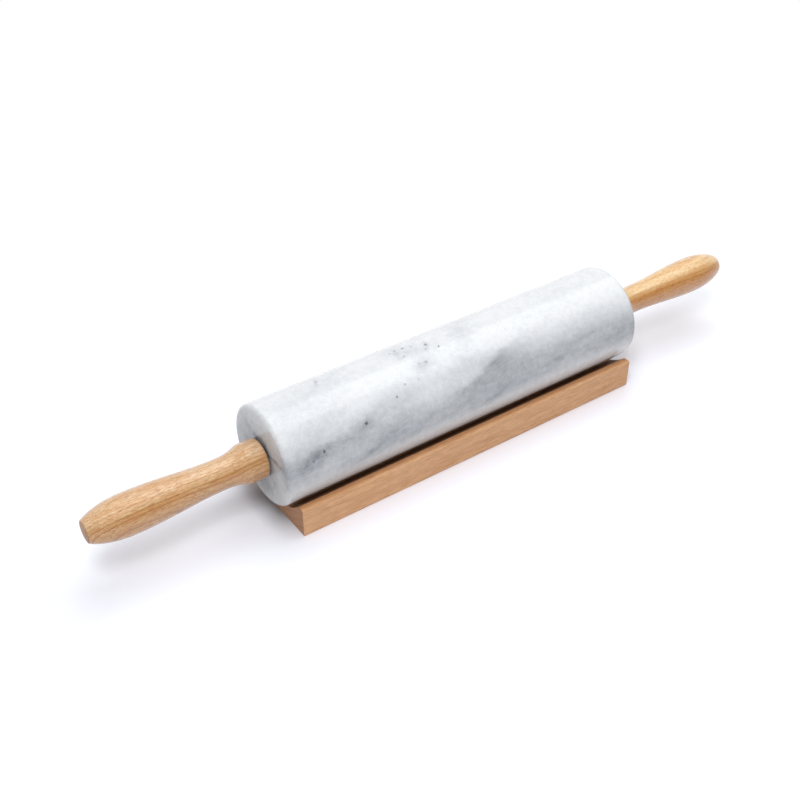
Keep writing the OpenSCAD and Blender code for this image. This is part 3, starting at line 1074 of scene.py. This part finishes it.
def make_world():
    """White room. The camera sees it white, and reflections see it white low down behind the part."""
    world = bpy.data.worlds.new("white_room")
    bpy.context.scene.world = world
    world.use_nodes = True
    tree = world.node_tree
    background = tree.nodes["Background"]
    background.inputs["Color"].default_value = WHITE
    rays = add_node(tree, "ShaderNodeLightPath").outputs
    mirrored = calculate(tree, "MAXIMUM", rays["Is Glossy Ray"], rays["Is Transmission Ray"])
    where = add_node(tree, "ShaderNodeTexCoord").outputs["Generated"]
    _, behind, up = split(tree, where)
    ceiling = ramp(tree, up, *CEILING)
    ceiling = calculate(tree, "MULTIPLY", ceiling, ramp(tree, behind, *ROOM_FRONT))
    fill = calculate(tree, "MULTIPLY", calculate(tree, "SUBTRACT", 1.0, mirrored), WORLD_FILL)
    strength = calculate(tree, "MULTIPLY_ADD", mirrored, ceiling, fill)
    strength = calculate(tree, "MAXIMUM", strength, rays["Is Camera Ray"])
    tree.links.new(strength, background.inputs["Strength"])


# The softboxes: name, place and the point each is aimed at, width and height,
# brightness per unit of its face, and whether reflections show it
SOFTBOXES = [
    ("long_softbox", (0.575, 0.13, 1.06), (0.575, 0.13, 0.0), 1.55, 0.80, 1.5, True),
    ("side_softbox", (-0.4, -0.4, 1.0), (0.0, 0.0, 0.0), 0.40, 0.40, 8.3, False),
    ("back_softbox", (0.4, 0.6, 1.0), (0.0, 0.0, 0.0), 0.60, 0.60, 1.8, False),
    ("low_softbox", (-0.7, -0.8, 0.4), (0.0, 0.0, 0.0), 0.60, 0.60, 1.4, False),
    ("front_softbox", (0.95, -0.40, 1.06), (0.95, -0.40, 0.0), 0.80, 0.26, 1.2, True),
]


def make_softbox(name, place, aim, width, height, radiance, mirrored):
    """Softbox of a given brightness per unit of its face, hung at a place and aimed at a point."""
    light = bpy.data.lights.new(name, "AREA")
    light.shape = "RECTANGLE"
    light.size = width
    light.size_y = height
    light.energy = radiance * math.pi * width * height
    lamp = bpy.data.objects.new(name, light)
    lamp.location = place
    lamp.rotation_mode = "QUATERNION"
    lamp.rotation_quaternion = (Vector(aim) - Vector(place)).to_track_quat("-Z", "Y")
    lamp.visible_camera = False
    lamp.visible_glossy = mirrored
    bpy.context.scene.collection.objects.link(lamp)


def make_lights():
    """Five softboxes. A long one overhead leaves its reflection along the stone."""
    for softbox in SOFTBOXES:
        make_softbox(*softbox)


# The camera: place and direction, found from the photograph's outlines, the
# sensor's width and focal length in millimetres, and the metres that it sees
CAMERA_PLACE = (-0.3387, -0.4329, 0.4407)
CAMERA_FORWARD = (0.4567, 0.6494, -0.6081)
SENSOR_WIDTH = 36.0
FOCAL_LENGTH = 51.17
SEES_FROM = 0.01
SEES_TO = 20.0


def make_camera():
    """Camera at the photograph's viewing angle."""
    data = bpy.data.cameras.new("camera")
    data.sensor_width = SENSOR_WIDTH
    data.lens = FOCAL_LENGTH
    data.clip_start = SEES_FROM
    data.clip_end = SEES_TO
    camera = bpy.data.objects.new("camera", data)
    camera.location = CAMERA_PLACE
    camera.rotation_mode = "QUATERNION"
    camera.rotation_quaternion = Vector(CAMERA_FORWARD).to_track_quat("-Z", "Y")
    bpy.context.scene.collection.objects.link(camera)
    bpy.context.scene.camera = camera


make_camera()
make_world()
make_lights()
make_floor()

dress(make_barrel(), marble_material())
dress(make_handle("left"), turned_wood_material("left"))
dress(make_handle("right"), turned_wood_material("right"))
dress(make_cradle(), cradle_wood_material())

washer_steel = turned_metal_material("washer_steel")
brass = turned_metal_material("turned_brass")
bushing_plastic = bushing_material()
dress(nodes["axle_rod"], turned_metal_material("drawn_steel"))
for end in ("left", "right"):
    dress(nodes[end + "_bushing"], bushing_plastic)
    dress(nodes[end + "_washer"], washer_steel)
    dress(nodes[end + "_insert"], brass)

bpy.context.scene.view_settings.view_transform = "Standard"
